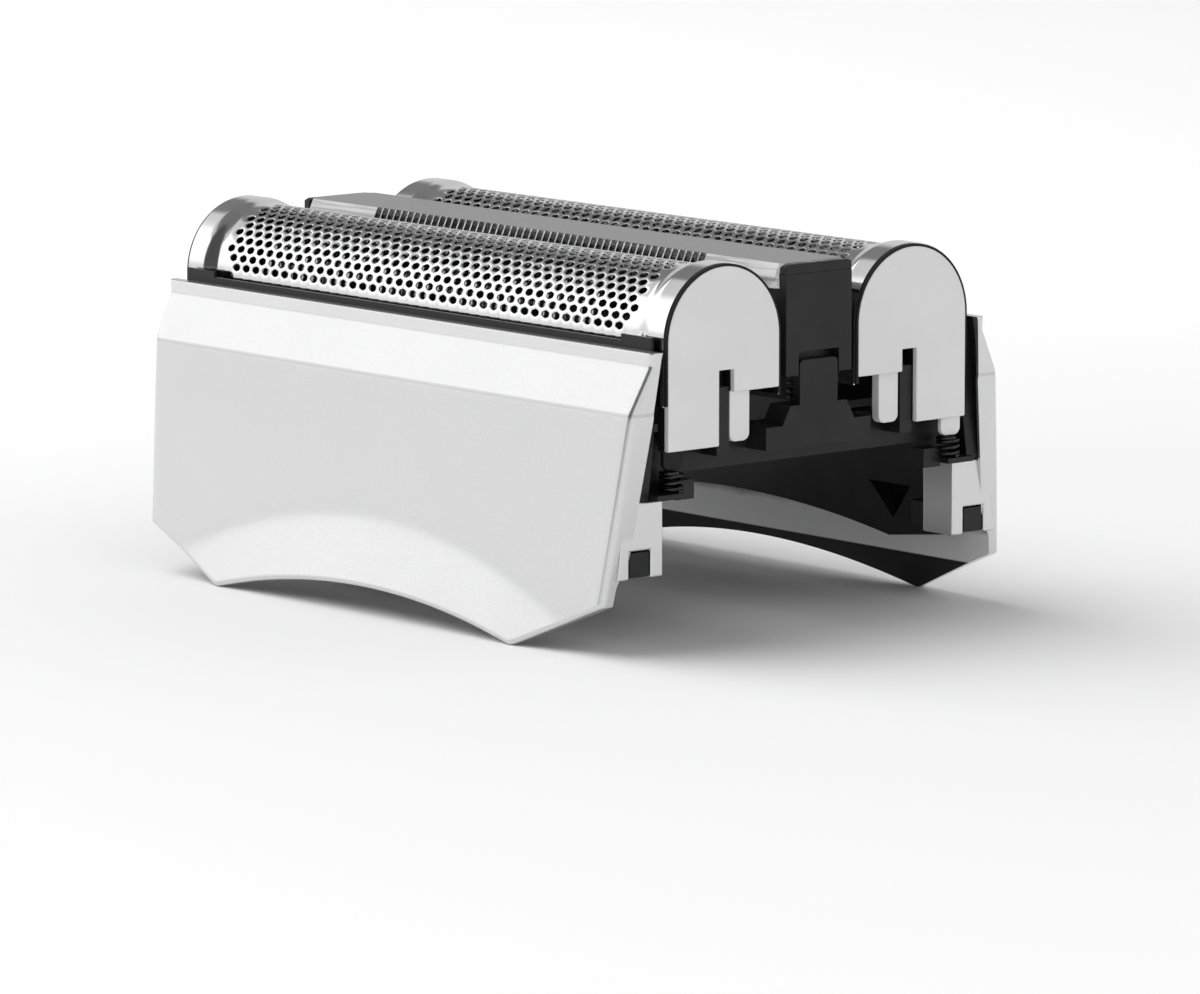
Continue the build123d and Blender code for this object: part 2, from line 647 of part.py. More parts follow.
# The other hands of the pieces
with BuildPart() as rear_cap_left:
    mirror(rear_cap_right.part, about=Plane.YZ)
with BuildPart() as rear_spring_left:
    mirror(rear_spring_right.part, about=Plane.YZ)
with BuildPart() as front_foil:
    mirror(rear_foil.part, about=Plane.XZ)
with BuildPart() as front_cap_right:
    mirror(rear_cap_right.part, about=Plane.XZ)
with BuildPart() as front_cap_left:
    mirror(rear_cap_left.part, about=Plane.XZ)
with BuildPart() as front_spring_right:
    mirror(rear_spring_right.part, about=Plane.XZ)
with BuildPart() as front_spring_left:
    mirror(rear_spring_left.part, about=Plane.XZ)
with BuildPart() as front_cutter_carrier:
    mirror(rear_cutter_carrier.part, about=Plane.XZ)
with BuildPart() as front_cutter_blades:
    mirror(rear_cutter_blades.part, about=Plane.XZ)
with BuildPart() as front_cover:
    mirror(rear_cover.part, about=Plane.XZ)
with BuildPart() as trimmer_spring_left:
    mirror(trimmer_spring_right.part, about=Plane.YZ)

pieces = {
    "front_cover": front_cover,
    "rear_cover": rear_cover,
    "chassis": chassis,
    "front_foil": front_foil,
    "rear_foil": rear_foil,
    "front_cap_left": front_cap_left,
    "front_cap_right": front_cap_right,
    "rear_cap_left": rear_cap_left,
    "rear_cap_right": rear_cap_right,
    "front_spring_left": front_spring_left,
    "front_spring_right": front_spring_right,
    "rear_spring_left": rear_spring_left,
    "rear_spring_right": rear_spring_right,
    "front_cutter_carrier": front_cutter_carrier,
    "rear_cutter_carrier": rear_cutter_carrier,
    "front_cutter_blades": front_cutter_blades,
    "rear_cutter_blades": rear_cutter_blades,
    "trimmer_comb": trimmer_comb,
    "trimmer_blade": trimmer_blade,
    "trimmer_carrier": trimmer_carrier,
    "trimmer_spring_left": trimmer_spring_left,
    "trimmer_spring_right": trimmer_spring_right,
}
for name, piece in pieces.items():
    piece.part.label = name
    export_step(piece.part, f"parts/{name}.step")
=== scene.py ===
"""Foil head of an electric shaver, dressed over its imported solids. Metres, in the frame of the solids:
+X along the foils, +Y to the rear, +Z up, the head standing on z = 0."""

from math import radians

import bmesh
import bpy
import numpy as np
from mathutils import Matrix, Vector


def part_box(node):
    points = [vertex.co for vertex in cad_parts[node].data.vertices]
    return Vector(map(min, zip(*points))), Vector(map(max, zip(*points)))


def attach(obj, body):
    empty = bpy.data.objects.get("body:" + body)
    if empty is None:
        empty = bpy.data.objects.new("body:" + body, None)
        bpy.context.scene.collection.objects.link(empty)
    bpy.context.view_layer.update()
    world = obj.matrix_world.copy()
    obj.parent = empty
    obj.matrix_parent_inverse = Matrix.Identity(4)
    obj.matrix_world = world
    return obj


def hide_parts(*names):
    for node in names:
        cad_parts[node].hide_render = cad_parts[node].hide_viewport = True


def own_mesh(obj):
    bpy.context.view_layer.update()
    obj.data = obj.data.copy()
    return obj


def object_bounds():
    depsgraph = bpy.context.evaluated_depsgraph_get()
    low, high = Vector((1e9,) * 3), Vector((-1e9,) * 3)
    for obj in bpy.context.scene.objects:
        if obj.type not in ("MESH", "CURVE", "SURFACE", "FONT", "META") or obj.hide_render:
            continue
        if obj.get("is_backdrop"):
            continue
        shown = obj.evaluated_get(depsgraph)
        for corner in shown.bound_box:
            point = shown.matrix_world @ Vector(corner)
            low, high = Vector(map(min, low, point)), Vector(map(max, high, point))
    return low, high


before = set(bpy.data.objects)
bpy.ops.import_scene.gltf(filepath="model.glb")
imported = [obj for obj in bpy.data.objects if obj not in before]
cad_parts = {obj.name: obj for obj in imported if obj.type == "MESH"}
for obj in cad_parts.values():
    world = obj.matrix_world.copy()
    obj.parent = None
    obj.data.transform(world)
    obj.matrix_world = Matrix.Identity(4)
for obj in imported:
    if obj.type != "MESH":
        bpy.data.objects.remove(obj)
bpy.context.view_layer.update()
scene = bpy.context.scene
scene.view_settings.view_transform = "Standard"
mm = 0.001


# Chassis. The inner frame that everything hangs on: one black glass-filled moulding with a satin skin,
# two end plates with their guides and hooks, and side rails that the covers clip over.
def grain_group():
    """Moulded grain: two octaves of noise on object coordinates, fine for the skin and broad for flow."""
    group = bpy.data.node_groups.new("moulded_grain", "ShaderNodeTree")
    for name, value in (("Fine Scale", 9000.0), ("Broad Scale", 350.0)):
        socket = group.interface.new_socket(name, in_out="INPUT", socket_type="NodeSocketFloat")
        socket.default_value = value
    group.interface.new_socket("Height", in_out="OUTPUT", socket_type="NodeSocketFloat")
    group.interface.new_socket("Flow", in_out="OUTPUT", socket_type="NodeSocketFloat")
    nodes, links = group.nodes, group.links
    entry, leave = nodes.new("NodeGroupInput"), nodes.new("NodeGroupOutput")
    place = nodes.new("ShaderNodeTexCoord")
    for scale, output, detail in (("Fine Scale", "Height", 2.0), ("Broad Scale", "Flow", 4.0)):
        noise = nodes.new("ShaderNodeTexNoise")
        noise.inputs["Detail"].default_value = detail
        links.new(place.outputs["Object"], noise.inputs["Vector"])
        links.new(entry.outputs[scale], noise.inputs["Scale"])
        links.new(noise.outputs["Fac"], leave.inputs[output])
    return group


moulded_grain = grain_group()


def grain_node(tree, fine, broad):
    """The moulded grain in a material's tree at its own two scales: its fine height and its broad flow."""
    grain = tree.nodes.new("ShaderNodeGroup")
    grain.node_tree = moulded_grain
    grain.inputs["Fine Scale"].default_value = fine
    grain.inputs["Broad Scale"].default_value = broad
    return grain.outputs["Height"], grain.outputs["Flow"]


def new_finish(name, **constants):
    """A material with one Principled shader, whose constant values are set on its own sockets."""
    finish = bpy.data.materials.new(name)
    finish.use_nodes = True
    shader = finish.node_tree.nodes["Principled BSDF"]
    for socket, value in constants.items():
        shader.inputs[socket.replace("_", " ")].default_value = value
    return finish, finish.node_tree, shader


def ramp_between(tree, factor, first, second, low=0.3, high=0.7):
    """Map a value from low..high onto two colours or greys, clamped; most of a noise lies in 0.3..0.7."""
    if isinstance(first, float):
        ramp = tree.nodes.new("ShaderNodeMapRange")
        for socket, value in zip(("From Min", "From Max", "To Min", "To Max"), (low, high, first, second)):
            ramp.inputs[socket].default_value = value
        tree.links.new(factor, ramp.inputs["Value"])
        return ramp.outputs["Result"]
    ramp = tree.nodes.new("ShaderNodeValToRGB")
    start, stop = ramp.color_ramp.elements
    start.position, start.color = low, (*first, 1)
    stop.position, stop.color = high, (*second, 1)
    tree.links.new(factor, ramp.inputs["Fac"])
    return ramp.outputs["Color"]


def skin_bump(tree, shader, height, depth):
    """Bump the normal of a shader by a height pattern of the given depth in mm."""
    bump = tree.nodes.new("ShaderNodeBump")
    bump.inputs["Distance"].default_value = depth * mm
    tree.links.new(height, bump.inputs["Height"])
    tree.links.new(bump.outputs["Normal"], shader.inputs["Normal"])


def moulded_plastic(name, dark, light, smooth, rough, skin=0.004, fine=9000.0, broad=350.0, **constants):
    """Moulded plastic: broad flow marks shift colour and gloss a little, the fine skin gives the bump."""
    finish, tree, shader = new_finish(name, **constants)
    height, flow = grain_node(tree, fine, broad)
    tree.links.new(ramp_between(tree, flow, dark, light), shader.inputs["Base Color"])
    tree.links.new(ramp_between(tree, flow, smooth, rough), shader.inputs["Roughness"])
    skin_bump(tree, shader, height, skin)
    return finish


def dress(node, finish):
    """Give a carried-over solid its finish in every material slot."""
    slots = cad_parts[node].data.materials
    slots.clear()
    slots.append(finish)


black_plastic = moulded_plastic(
    "black_plastic", (0.009, 0.009, 0.010), (0.017, 0.017, 0.018), 0.30, 0.40, skin=0.006,
    Specular_IOR_Level=0.28,
)
dress("chassis", black_plastic)


# Covers. The front and rear shells, thin ABS mouldings in silver paint: a tall wall, a crease with a
# leaning band above it, a raised lip that follows the arched lower edge, and a clip block at each end.
def soft_min(a, b, k):
    """Smaller of two arrays, with the corner between them rounded over a difference of k."""
    return 0.5 * (a + b - np.sqrt((a - b) ** 2 + k * k))


def soft_max(a, b, k):
    """Larger of two arrays, with the corner between them rounded over a difference of k."""
    return 0.5 * (a + b + np.sqrt((a - b) ** 2 + k * k))


def grid_faces(rows, columns, first=0):
    """Quads of a rows x columns grid of vertices, row by row, wound the same way everywhere."""
    corner = first + np.arange(rows - 1)[:, None] * columns + np.arange(columns - 1)[None, :]
    return np.stack([corner, corner + 1, corner + columns + 1, corner + columns], -1).reshape(-1, 4)


def put_mesh(name, points, faces):
    """A smooth mesh object at the origin from points in mm and index faces."""
    mesh = bpy.data.meshes.new(name)
    loops = faces.tolist() if isinstance(faces, np.ndarray) else faces
    mesh.from_pydata((np.asarray(points, float) * mm).tolist(), [], loops)
    mesh.update()
    mesh.shade_smooth()
    piece = bpy.data.objects.new(name, mesh)
    scene.collection.objects.link(piece)
    return piece


def outward(piece, sharp):
    """Merge the doubles of a piece, turn its faces outwards and keep edges over the sharp angle hard."""
    weld = 1e-7
    work = bmesh.new()
    work.from_mesh(piece.data)
    bmesh.ops.remove_doubles(work, verts=work.verts, dist=weld)
    bmesh.ops.recalc_face_normals(work, faces=work.faces)
    work.to_mesh(piece.data)
    work.free()
    piece.data.shade_smooth()
    piece.data.set_sharp_from_angle(angle=radians(sharp))
    return piece


cover_node_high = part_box("front_cover")[1]
cover_top = cover_node_high.z / mm
cover_half = cover_node_high.x / mm
crease_height = cover_top - 3.33
corner_height = 3.0
tip_x = 13.8
join_height = 4.2


def cover_half_length(z):
    """Half length at height z: the ends lean in from the top, a little more the lower they are."""
    lean, bow = 0.085, 0.0012
    drop = cover_top - z
    return cover_half - lean * drop - bow * drop**2


def cover_lower_line(x):
    """Lower edge: a parabola between the two pointed feet, then straight up to the end corners."""
    arch_rise, tip_round = 1.7, 0.12
    arch = arch_rise * (1 - (x / tip_x) ** 2)
    rise = (np.abs(x) - tip_x) * corner_height / (cover_half_length(corner_height) - tip_x)
    line = soft_max(arch, rise, tip_round)
    return line - line.min()


def cover_outside(x, z):
    """Outer face: the wall and the leaning band meet in a crease, the band ends in a narrow upright rim
    along the top, and a bowed lip stands out below."""
    wall_foot, wall_lean = 15.67, 0.12014
    crease_y, band_lean, rim_y = 14.0, 0.5156, 12.7
    lip_y, lip_lean, lip_height, lip_bow = 14.997, 0.25, 5.6, 600
    crease_round, rim_round, lip_round = 0.07, 0.03, 0.05
    wall = wall_foot - wall_lean * z
    band = soft_max(crease_y - band_lean * (z - crease_height), rim_y, rim_round)
    lip = lip_y + lip_lean * (lip_height - z) - x**2 / lip_bow
    return soft_max(soft_min(wall, band, crease_round), lip, lip_round)


def cover_inside(z):
    """Inner face: a bevel along the lower edge, a straight wall, then the inside of the leaning band."""
    bevel_foot, bevel_lean = 15.5, 0.43
    wall_foot, wall_lean = 14.87, 0.1417
    band_foot, band_lean = 12.9, 0.2656
    below = np.maximum(wall_foot - wall_lean * z, bevel_foot - bevel_lean * z)
    return np.minimum(below, band_foot - band_lean * (z - crease_height))


def cover_shell(side):
    """Wall of a cover: an outer and an inner grid over length and height, joined along all four edges.

    The outer grid rolls over by a quarter circle at its ends, its top and its lower edge. The inner grid
    steps in by up to half a millimetre at the ends, as a narrow flange."""
    end_round, top_round, foot_round, roll_share, thinnest = 0.4, 0.1, 0.3, 0.8, 0.05
    flange_depth, flange_width, flange_step = 0.55, 0.36, 0.08
    flange_top, flange_top_run, flange_foot, flange_foot_run = cover_top - 0.3, 3.5, 4.0, 1.5
    lip_top, rim_foot = 6.0, cover_top - 1.2
    crease_low, crease_high = crease_height - 0.6, crease_height + 0.6
    turn = np.linspace(0, np.pi / 2, 7)[1:]
    reach, sink, still = np.sin(turn), 1 - np.cos(turn), np.zeros(turn.size)

    near_tip = np.linspace(0.62, 0.68, 9)
    body = np.unique(np.concatenate([np.linspace(-1, 1, 97), near_tip, -near_tip]))
    along = np.concatenate([still - 1, body, still + 1])
    roll_x = np.concatenate([-reach[::-1], 0 * body, reach]) * end_round
    roll_y = np.concatenate([sink[::-1], 0 * body, sink]) * end_round

    upper = np.unique(np.concatenate([
        np.linspace(join_height, lip_top, 19), np.linspace(lip_top, crease_low, 14),
        np.linspace(crease_low, crease_high, 17), np.linspace(crease_high, rim_foot, 6),
        np.linspace(rim_foot, cover_top - top_round, 12),
    ]))
    lower = np.linspace(0, 1, 34)[:-1]
    middle = np.zeros(lower.size + upper.size)
    foot = np.concatenate([reach[::-1], middle, still])[:, None] * foot_round
    foot_y = np.concatenate([sink[::-1], middle, still])[:, None] * foot_round
    head = np.concatenate([still, middle, reach])[:, None] * top_round
    head_y = np.concatenate([still, middle, sink])[:, None] * top_round

    foot_x = along * (cover_half_length(corner_height) - end_round) + roll_x
    foot_line = cover_lower_line(foot_x)[None, :] + foot_round
    rise = np.concatenate([still, lower, np.ones(upper.size + turn.size)])[:, None]
    level = np.concatenate([still, 0 * lower, upper, still + cover_top - top_round])[:, None]
    z = np.where(rise < 1, foot_line * (1 - rise) + join_height * rise, level) - foot + head
    x = along[None, :] * (cover_half_length(z) - end_round) + roll_x[None, :]
    outside, inside = cover_outside(x, z), cover_inside(z)
    end_drop = roll_y[None, :] * np.clip(roll_share * (outside - inside) / end_round, 0, 1)
    y_out = outside - np.hypot(np.hypot(end_drop, foot_y), head_y)
    near_end = np.clip((np.abs(x) - cover_half_length(z) + flange_width) / flange_step, 0, 1)
    fade_top = np.clip((flange_top - z) / flange_top_run, 0, 1)
    fade_foot = np.clip((z - flange_foot) / flange_foot_run, 0, 1)
    y_in = np.minimum(inside - flange_depth * near_end * fade_top * fade_foot, y_out - thinnest)

    rows, columns = z.shape
    outer = np.stack([x, side * y_out, z], -1).reshape(-1, 3)
    inner = np.stack([x, side * y_in, z], -1).reshape(-1, 3)
    count = rows * columns
    index = np.arange(count).reshape(rows, columns)
    edge = np.concatenate([index[0, :-1], index[:-1, -1], index[-1, :0:-1], index[:0:-1, 0]])
    ring = np.stack([edge, np.roll(edge, -1), np.roll(edge, -1) + count, edge + count], -1)
    faces = np.concatenate([grid_faces(rows, columns), grid_faces(rows, columns, count)[:, ::-1], ring])
    return np.concatenate([outer, inner]), faces


def prism_x(outline, start, stop):
    """A closed outline in YZ carried straight along X from start to stop, with both ends closed."""
    outline = np.asarray(outline, float)
    n = len(outline)
    points = np.concatenate([np.insert(outline, 0, start, 1), np.insert(outline, 0, stop, 1)])
    step = np.arange(n)
    walls = np.stack([step, np.roll(step, -1), np.roll(step, -1) + n, step + n], -1).tolist()
    return points, walls + [step[::-1].tolist(), (step + n).tolist()]


def soften(piece, width):
    """Round the hard edges of a piece, as a mould does, and keep its flat faces flat."""
    bevel = piece.modifiers.new("soft_edges", "BEVEL")
    bevel.width = width * mm
    bevel.segments = 2
    bevel.limit_method = "ANGLE"
    bevel.angle_limit = radians(35.0)
    bevel.harden_normals = True
    return piece


def combine(tree, operation, *values):
    """One arithmetic step on two or three values, each a number or the output of another node."""
    step = tree.nodes.new("ShaderNodeMath")
    step.operation = operation
    for socket, value in zip(step.inputs, values):
        if isinstance(value, float):
            socket.default_value = value
        else:
            tree.links.new(value, socket)
    return step.outputs[0]


def object_height(tree):
    """Height above the surface that the head stands on, from the object coordinates."""
    place = tree.nodes.new("ShaderNodeTexCoord")
    split = tree.nodes.new("ShaderNodeSeparateXYZ")
    tree.links.new(place.outputs["Object"], split.inputs[0])
    return split.outputs["Z"]


def silver_paint():
    """Silver paint on plastic: fine flake in the colour and gloss, a clear coat, faint flow marks, and a
    thin darker line just under the crease, which is painted shade."""
    crease_shade_below, crease_shade_half, crease_shade_tone = 0.13, 0.1, -0.55
    finish, tree, shader = new_finish("silver_paint", Metallic=0.88, Coat_Weight=0.15, Coat_Roughness=0.15)
    flake, flow = grain_node(tree, fine=16000.0, broad=160.0)
    # Painted shade: a thin band just below the crease darkens the paint colour, as the shade under the
    # crease.
    line = combine(
        tree, "COMPARE", object_height(tree), (crease_height - crease_shade_below) * mm, crease_shade_half * mm
    )
    tone = combine(tree, "MULTIPLY_ADD", line, crease_shade_tone, flake)
    tree.links.new(
        ramp_between(tree, tone, (0.57, 0.57, 0.573), (0.75, 0.75, 0.752), low=0.0, high=0.75),
        shader.inputs["Base Color"],
    )
    tree.links.new(ramp_between(tree, flow, 0.21, 0.25), shader.inputs["Roughness"])
    skin_bump(tree, shader, flake, depth=0.001)
    return finish


silver = silver_paint()


def inside_painted_reflection():
    """Inside of a cover: black moulding, with a pale band above the lower bevel that is a painted reflection,
    and the bevel left black as painted shade.
    """
    bevel_top, sheen_foot, sheen_top, sheen_end, ragged_edge = 2.15, 2.23, 4.2, 4.9, 0.5
    finish, tree, shader = new_finish("inside_painted_reflection", Specular_IOR_Level=0.3)
    _, flow = grain_node(tree, fine=12000.0, broad=500.0)
    height = object_height(tree)
    ragged = combine(tree, "MULTIPLY_ADD", flow, ragged_edge * mm, height)
    # Painted reflection: a pale band from the top of the bevel to a ragged edge higher up; the bevel below
    # keeps the black as painted shade.
    band = combine(
        tree, "MULTIPLY",
        ramp_between(tree, height, 0.0, 1.0, low=bevel_top * mm, high=sheen_foot * mm),
        ramp_between(tree, ragged, 1.0, 0.0, low=sheen_top * mm, high=sheen_end * mm),
    )
    tree.links.new(
        ramp_between(tree, band, (0.012, 0.012, 0.013), (0.86, 0.86, 0.864), low=0.0, high=1.0),
        shader.inputs["Base Color"],
    )
    tree.links.new(ramp_between(tree, flow, 0.32, 0.42), shader.inputs["Roughness"])
    return finish


inside_sheen_and_shade = inside_painted_reflection()


def paint_inside(shell, side):
    """Finishes over the shell by place: silver paint outside and on the edges, and inside the black moulding
    with its painted reflection and painted shade.
    """
    skin, end_facing, edge_width = 0.03, 0.6, 0.4
    center, normal = (np.empty(len(shell.data.polygons) * 3) for _ in range(2))
    shell.data.polygons.foreach_get("center", center)
    shell.data.polygons.foreach_get("normal", normal)
    x, y, z = center.reshape(-1, 3).T / mm
    inner = (side * y < cover_inside(z) + skin) & (np.abs(normal[::3]) < end_facing)
    inner &= (np.abs(x) < cover_half_length(z) - edge_width) | (z < join_height)
    for material in (silver, inside_sheen_and_shade):
        shell.data.materials.append(material)
    shell.data.polygons.foreach_set("material_index", inner.astype(np.int32))


clip_outline = np.array([
    [11.1, 8.75], [13.9, 8.75], [14.5, 4.4], [13.6, 4.4], [13.6, 6.0], [12.0, 6.0], [12.0, 4.4], [11.1, 4.4],
])
for node, side in (("front_cover", -1), ("rear_cover", 1)):
    shell = outward(put_mesh(f"{node}_shell", *cover_shell(side)), sharp=50)
    paint_inside(shell, side)
    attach(shell, "frame")
    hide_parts(node)
    for hand, start, stop in (("left", -21.2, -18.65), ("right", 18.65, 21.2)):
        block_points, block_faces = prism_x(clip_outline * [side, 1], start, stop)
        block = outward(put_mesh(f"{node}_clip_{hand}", block_points, block_faces), sharp=30)
        soften(block, 0.12)
        block.data.materials.append(silver)
        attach(block, "frame")


# Springs. Six small coil springs of hard-drawn steel wire: one under the outer leg of each foil cap,
# one under each end of the trimmer. In the head they shorten as a foil or the trimmer sinks; here they stand
# fixed in the chassis.
def tube_faces(rows, sides):
    """Quads of a tube: rows of rings with the given number of sides, the last side joined to the first."""
    grid = grid_faces(rows, sides + 1)
    return grid // (sides + 1) * sides + grid % (sides + 1) % sides


def coil(center, z_low, z_high, radius, wire, turns):
    """Round wire along a helix, as a closed tube: the angle runs evenly, and the height climbs slowly in the
    first and the last turn, so that both ends lie nearly flat."""
    sides, steps = 10, int(turns * 28)
    run = np.linspace(0, 1, steps)
    angle = run * turns * 2 * np.pi
    span, flat_rise = z_high - z_low, 0.75 * wire
    stages = [0, 1 / turns, 1 - 1 / turns, 1]
    climb = np.interp(run, stages, np.cumsum([0, flat_rise, span - 4 * flat_rise, flat_rise]))
    height = z_low + wire / 2 + climb / climb[-1] * (span - wire)
    path = np.stack([center[0] + radius * np.cos(angle), center[1] + radius * np.sin(angle), height], -1)
    ahead = np.gradient(path, axis=0)
    ahead /= np.linalg.norm(ahead, axis=1, keepdims=True)
    out = np.stack([np.cos(angle), np.sin(angle), np.zeros(steps)], -1)
    across = np.cross(ahead, out)
    around = np.linspace(0, 2 * np.pi, sides + 1)[:-1]
    ring = path[:, None] + wire / 2 * (
        np.cos(around)[None, :, None] * out[:, None] + np.sin(around)[None, :, None] * across[:, None]
    )
    ends = [list(range(sides - 1, -1, -1)), list(range((steps - 1) * sides, steps * sides))]
    return ring.reshape(-1, 3), tube_faces(steps, sides).tolist() + ends


def streak_group():
    """Rolling marks: noise on object coordinates drawn out along X, so that it runs in fine long streaks."""
    group = bpy.data.node_groups.new("rolling_streaks", "ShaderNodeTree")
    socket = group.interface.new_socket("Scale", in_out="INPUT", socket_type="NodeSocketFloat")
    socket.default_value = 6000.0
    group.interface.new_socket("Streak", in_out="OUTPUT", socket_type="NodeSocketFloat")
    nodes, links = group.nodes, group.links
    entry, leave = nodes.new("NodeGroupInput"), nodes.new("NodeGroupOutput")
    place, stretch, noise = (nodes.new(f"ShaderNode{kind}") for kind in ("TexCoord", "Mapping", "TexNoise"))
    stretch.inputs["Scale"].default_value = (0.04, 1.0, 1.0)
    noise.inputs["Detail"].default_value = 3.0
    links.new(place.outputs["Object"], stretch.inputs["Vector"])
    links.new(stretch.outputs["Vector"], noise.inputs["Vector"])
    links.new(entry.outputs["Scale"], noise.inputs["Scale"])
    links.new(noise.outputs["Fac"], leave.inputs["Streak"])
    return group


rolling_streaks = streak_group()


def drawn_steel(name, dark, light, smooth, rough, scale=6000.0, low=0.3, high=0.7):
    """Hard-drawn or rolled steel: metallic, its tone and gloss broken by fine streaks along its length."""
    finish, tree, shader = new_finish(name, Metallic=1.0, Specular_Tint=(0.7, 0.7, 0.7, 1.0))
    streaks = tree.nodes.new("ShaderNodeGroup")
    streaks.node_tree = rolling_streaks
    streaks.inputs["Scale"].default_value = scale
    for socket, first, second in (("Base Color", dark, light), ("Roughness", smooth, rough)):
        varied = ramp_between(tree, streaks.outputs["Streak"], first, second, low, high)
        tree.links.new(varied, shader.inputs[socket])
    return finish


spring_steel = drawn_steel("spring_steel", (0.03, 0.03, 0.032), (0.07, 0.07, 0.072), 0.28, 0.4)
spring_wire = 0.22
for node, joint, keep, turns in (
    ("front_spring_left", "front_foil_float", 0.31, 4.0),
    ("front_spring_right", "front_foil_float", 0.31, 4.0),
    ("rear_spring_left", "rear_foil_float", 0.31, 4.0),
    ("rear_spring_right", "rear_foil_float", 0.31, 4.0),
    ("trimmer_spring_left", "trimmer_float", 0.76, 4.5),
    ("trimmer_spring_right", "trimmer_float", 0.76, 4.5),
):
    low, high = (np.array(corner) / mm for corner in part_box(node))
    middle = (low + high) / 2
    coil_radius = (high[1] - low[1] - spring_wire) / 2
    spring = outward(put_mesh(
        f"{node}_coil", *coil(middle, low[2], high[2], coil_radius, spring_wire, turns)
    ), sharp=60)
    spring.data.materials.append(spring_steel)
    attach(spring, "frame")
    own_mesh(spring)
    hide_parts(node)


# Cutters. Under each foil a row of thin arched steel blades, pressed into a black carrier that the
# drive pin swings to and fro; the blades are ground to the inside of the foil.
carrier_black = moulded_plastic(
    "carrier_black", (0.010, 0.010, 0.011), (0.020, 0.020, 0.021), 0.34, 0.46, skin=0.008, broad=420.0
)
for node in ("front_cutter_carrier", "rear_cutter_carrier"):
    dress(node, carrier_black)


def lamellae(middle_y, middle_z, outer, inner, half_run, pitch, thickness):
    """Half rings round the axis of the arch, one to each pitch, each a four-sided bar bent through 180
    degrees and closed at both ends."""
    count = 2 * int(half_run / pitch) + 1
    place = (np.arange(count) - count // 2) * pitch
    turn = np.linspace(-np.pi / 2, np.pi / 2, 37)
    radius = np.array([inner, outer, outer, inner])
    offset = np.array([-1, -1, 1, 1]) * thickness / 2
    x = place[:, None, None] + offset[None, None, :] + 0 * turn[None, :, None]
    y = middle_y + radius[None, None, :] * np.sin(turn)[None, :, None] + 0 * x
    z = middle_z + radius[None, None, :] * np.cos(turn)[None, :, None] + 0 * x
    size = turn.size * 4
    ends = np.array([[0, 1, 2, 3], [size - 1, size - 2, size - 3, size - 4]])
    one = np.concatenate([tube_faces(turn.size, 4), ends])
    faces = (np.arange(count) * size)[:, None, None] + one[None]
    return np.stack([x, y, z], -1).reshape(-1, 3), faces.reshape(-1, 4)


blade_steel = drawn_steel("blade_steel", (0.42, 0.42, 0.43), (0.54, 0.54, 0.55), 0.2, 0.3)
blade_outer, blade_inner, blade_pitch, blade_thickness = 3.78, 3.0, 1.05, 0.3
blade_axis_drop, blade_end_room = 3.7, 0.2
for node, body in (("front_cutter_blades", "front_cutter"), ("rear_cutter_blades", "rear_cutter")):
    low, high = (np.array(corner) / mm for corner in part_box(node))
    blades = outward(put_mesh(f"{node}_row", *lamellae(
        (low[1] + high[1]) / 2, high[2] - blade_axis_drop, blade_outer, blade_inner,
        high[0] - blade_end_room, blade_pitch, blade_thickness,
    )), sharp=40)
    blades.data.materials.append(blade_steel)
    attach(blades, body)
    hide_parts(node)


